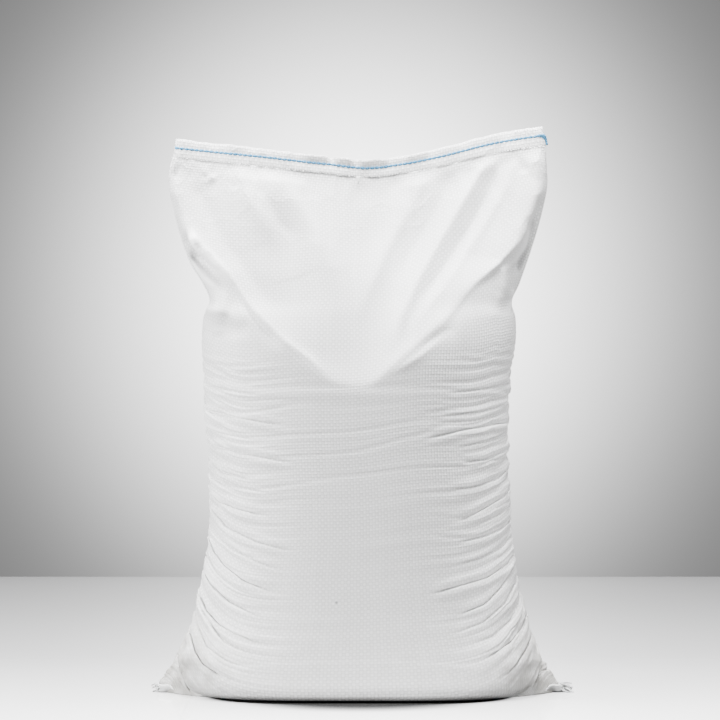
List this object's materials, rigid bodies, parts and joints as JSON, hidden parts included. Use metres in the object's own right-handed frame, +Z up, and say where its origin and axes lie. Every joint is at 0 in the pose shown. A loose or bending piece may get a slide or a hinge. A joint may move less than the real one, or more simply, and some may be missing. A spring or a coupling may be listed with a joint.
{
  "type": "filled woven grain sack",
  "caption": "White woven plastic sack full of grain, standing upright, with a stitched flat mouth and pointed bottom corners.",
  "frame": {"origin": "on the floor, in the middle of the base", "axes": "+Z up, +X along the seams towards the sack's left ear as it faces out, which is the picture's right, and -Y out of the front, on which the mouth is turned over"},
  "size_m": [0.494, 0.2649, 0.6838],
  "materials": {
    "woven_cloth": "woven flat plastic tape with a soft sheen",
    "blue_thread": "matte twisted thread",
    "white_thread": "matte twisted thread"
  },
  "bodies": {
    "root": {"sack_cloth": "woven_cloth", "top_needle_thread": "blue_thread", "top_looper_thread": "blue_thread", "bottom_thread": "white_thread"}
  },
  "joints": []
}
